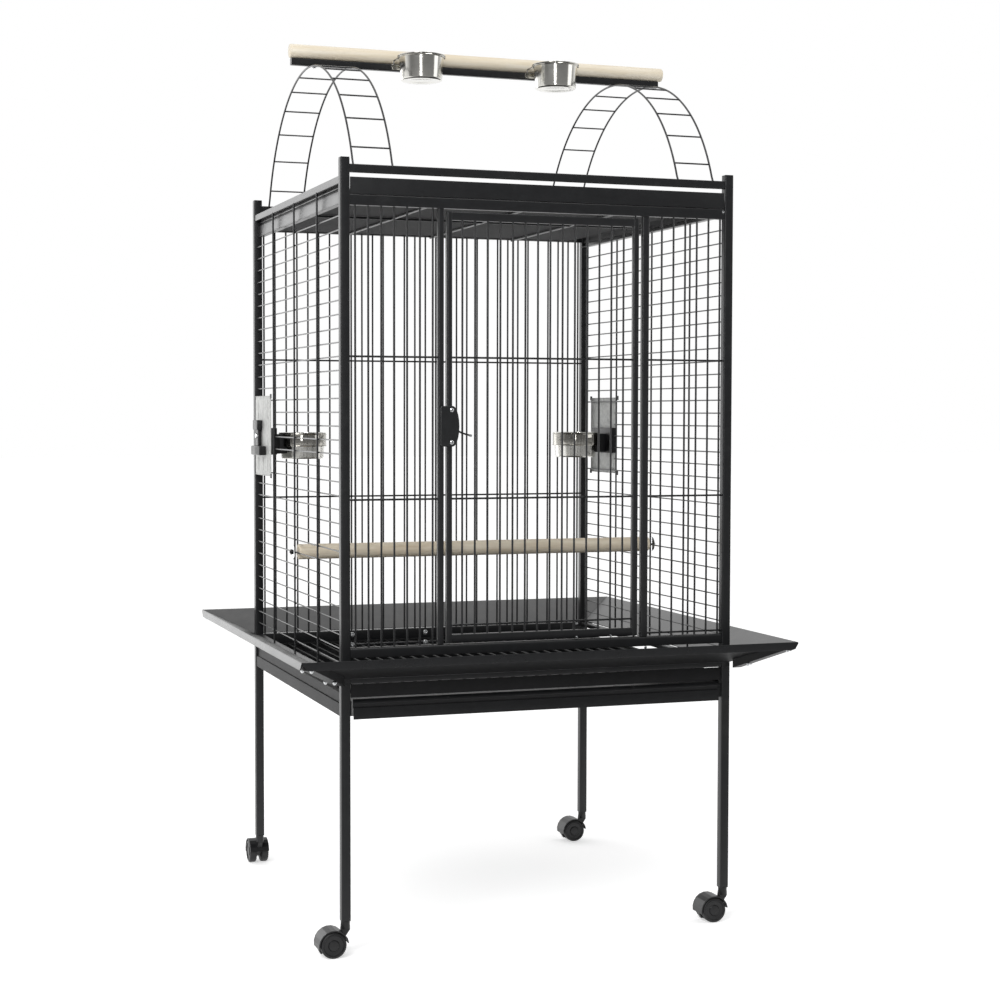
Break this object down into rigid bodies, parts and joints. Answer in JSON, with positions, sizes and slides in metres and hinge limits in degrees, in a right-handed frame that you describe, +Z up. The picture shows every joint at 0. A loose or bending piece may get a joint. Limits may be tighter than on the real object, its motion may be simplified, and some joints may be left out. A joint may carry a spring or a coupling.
{
  "type": "parrot cage",
  "caption": "Tall barred parrot cage on a wheeled stand, with a swing door, side feeder doors, seed guards, slide-out trays and a play top with ladders and a perch.",
  "frame": {"origin": "on the floor under the middle of the cage's plan", "axes": "+X to the right as seen from the front, +Y from the front to the back, +Z up; the door is at -Y"},
  "size_m": [1.012, 0.99, 1.7853],
  "materials": {
    "black_powder_coat": "near-black satin powder coat on steel",
    "stainless_steel": "bright stainless steel",
    "galvanised_sheet": "pale galvanised sheet",
    "turned_wood": "pale bare wood",
    "black_plastic": "black moulded plastic"
  },
  "bodies": {
    "cage": {"corner_post_front_left": "black_powder_coat", "corner_post_front_right": "black_powder_coat", "corner_post_back_left": "black_powder_coat", "corner_post_back_right": "black_powder_coat", "stand_leg_front_left": "black_powder_coat", "stand_leg_front_right": "black_powder_coat", "stand_leg_back_left": "black_powder_coat", "stand_leg_back_right": "black_powder_coat", "front_base_rail": "black_powder_coat", "door_sill_rail": "black_powder_coat", "door_head_rail": "black_powder_coat", "upper_front_rail": "black_powder_coat", "upper_back_rail": "black_powder_coat", "stand_back_rail": "black_powder_coat", "stand_left_rail": "black_powder_coat", "stand_right_rail": "black_powder_coat", "back_panel": "black_powder_coat", "front_left_panel": "black_powder_coat", "front_right_panel": "black_powder_coat", "left_side_panel": "black_powder_coat", "right_side_panel": "black_powder_coat", "roof_rods": "black_powder_coat", "left_ladder_arch": "black_powder_coat", "right_ladder_arch": "black_powder_coat", "perch_bar": "black_powder_coat", "top_perch": "turned_wood", "inner_perch": "turned_wood", "left_cup_hanger": "stainless_steel", "right_cup_hanger": "stainless_steel", "seed_guard_front": "black_powder_coat", "seed_guard_back": "black_powder_coat", "seed_guard_left": "black_powder_coat", "seed_guard_right": "black_powder_coat", "guard_bracket_front_left": "black_plastic", "guard_bracket_front_right": "black_plastic", "guard_bracket_back_left": "black_plastic", "guard_bracket_back_right": "black_plastic"},
    "door": {"main_door": "black_powder_coat", "door_latch_cover": "black_plastic"},
    "door_latch": {"door_latch_lever": "black_powder_coat"},
    "waste_drawer": {"waste_tray": "black_powder_coat"},
    "grate": {"floor_grate": "black_powder_coat"},
    "play_pan": {"play_top_pan": "black_powder_coat"},
    "left_feeder": {"left_feeder_door": "galvanised_sheet"},
    "left_feeder_catch": {"left_feeder_latch": "black_plastic"},
    "left_bowl": {"left_feeder_bowl": "stainless_steel"},
    "left_cup": {"left_top_cup": "stainless_steel"},
    "right_feeder": {"right_feeder_door": "galvanised_sheet"},
    "right_feeder_catch": {"right_feeder_latch": "black_plastic"},
    "right_bowl": {"right_feeder_bowl": "stainless_steel"},
    "right_cup": {"right_top_cup": "stainless_steel"},
    "swivel_front_left": {"caster_fork_front_left": "black_plastic"},
    "wheels_front_left": {"caster_wheels_front_left": "black_plastic"},
    "swivel_front_right": {"caster_fork_front_right": "black_plastic"},
    "wheels_front_right": {"caster_wheels_front_right": "black_plastic"},
    "swivel_back_left": {"caster_fork_back_left": "black_plastic"},
    "wheels_back_left": {"caster_wheels_back_left": "black_plastic"},
    "swivel_back_right": {"caster_fork_back_right": "black_plastic"},
    "wheels_back_right": {"caster_wheels_back_right": "black_plastic"}
  },
  "joints": [
    {"name": "main_door_hinge", "type": "hinge", "parent": "cage", "child": "door", "pos_m": [0.196, -0.385, 1], "axis": [0, 0, 1], "range_deg": [0, 120]},
    {"name": "door_latch_turn", "type": "hinge", "parent": "door", "child": "door_latch", "pos_m": [-0.195, -0.394, 1.01], "axis": [0, 1, 0], "range_deg": [0, 30]},
    {"name": "waste_tray_slide", "type": "slide", "parent": "cage", "child": "waste_drawer", "axis": [0, -1, 0], "range_m": [0, 0.6]},
    {"name": "floor_grate_slide", "type": "slide", "parent": "cage", "child": "grate", "axis": [0, -1, 0], "range_m": [0, 0.6]},
    {"name": "play_pan_slide", "type": "slide", "parent": "cage", "child": "play_pan", "axis": [0, -1, 0], "range_m": [0, 0.6]},
    {"name": "left_feeder_hinge", "type": "hinge", "parent": "cage", "child": "left_feeder", "pos_m": [-0.408, 0.2015, 0.977], "axis": [0, 0, 1], "range_deg": [0, 100]},
    {"name": "left_feeder_latch_turn", "type": "hinge", "parent": "left_feeder", "child": "left_feeder_catch", "pos_m": [-0.408, 0.311, 0.977], "axis": [1, 0, 0], "range_deg": [0, 90]},
    {"name": "left_feeder_bowl_lift", "type": "slide", "parent": "left_feeder", "child": "left_bowl", "axis": [0, 0, 1], "range_m": [0, 0.08]},
    {"name": "left_top_cup_lift", "type": "slide", "parent": "cage", "child": "left_cup", "axis": [0, 0, 1], "range_m": [0, 0.1]},
    {"name": "right_feeder_hinge", "type": "hinge", "parent": "cage", "child": "right_feeder", "pos_m": [0.408, 0.2015, 0.977], "axis": [0, 0, -1], "range_deg": [0, 100]},
    {"name": "right_feeder_latch_turn", "type": "hinge", "parent": "right_feeder", "child": "right_feeder_catch", "pos_m": [0.408, 0.311, 0.977], "axis": [1, 0, 0], "range_deg": [0, 90]},
    {"name": "right_feeder_bowl_lift", "type": "slide", "parent": "right_feeder", "child": "right_bowl", "axis": [0, 0, 1], "range_m": [0, 0.08]},
    {"name": "right_top_cup_lift", "type": "slide", "parent": "cage", "child": "right_cup", "axis": [0, 0, 1], "range_m": [0, 0.1]},
    {"name": "caster_swivel_front_left", "type": "hinge", "parent": "cage", "child": "swivel_front_left", "pos_m": [-0.396, -0.385, 0.067], "axis": [0, 0, 1], "continuous": true},
    {"name": "caster_wheel_spin_front_left", "type": "hinge", "parent": "swivel_front_left", "child": "wheels_front_left", "pos_m": [-0.423, -0.385, 0.025], "axis": [0, 1, 0], "continuous": true},
    {"name": "caster_swivel_front_right", "type": "hinge", "parent": "cage", "child": "swivel_front_right", "pos_m": [0.396, -0.385, 0.067], "axis": [0, 0, 1], "continuous": true},
    {"name": "caster_wheel_spin_front_right", "type": "hinge", "parent": "swivel_front_right", "child": "wheels_front_right", "pos_m": [0.369, -0.385, 0.025], "axis": [0, 1, 0], "continuous": true},
    {"name": "caster_swivel_back_left", "type": "hinge", "parent": "cage", "child": "swivel_back_left", "pos_m": [-0.396, 0.385, 0.067], "axis": [0, 0, 1], "continuous": true},
    {"name": "caster_wheel_spin_back_left", "type": "hinge", "parent": "swivel_back_left", "child": "wheels_back_left", "pos_m": [-0.396, 0.412, 0.025], "axis": [1, 0, 0], "continuous": true},
    {"name": "caster_swivel_back_right", "type": "hinge", "parent": "cage", "child": "swivel_back_right", "pos_m": [0.396, 0.385, 0.067], "axis": [0, 0, 1], "continuous": true},
    {"name": "caster_wheel_spin_back_right", "type": "hinge", "parent": "swivel_back_right", "child": "wheels_back_right", "pos_m": [0.369, 0.385, 0.025], "axis": [0, 1, 0], "continuous": true}
  ]
}
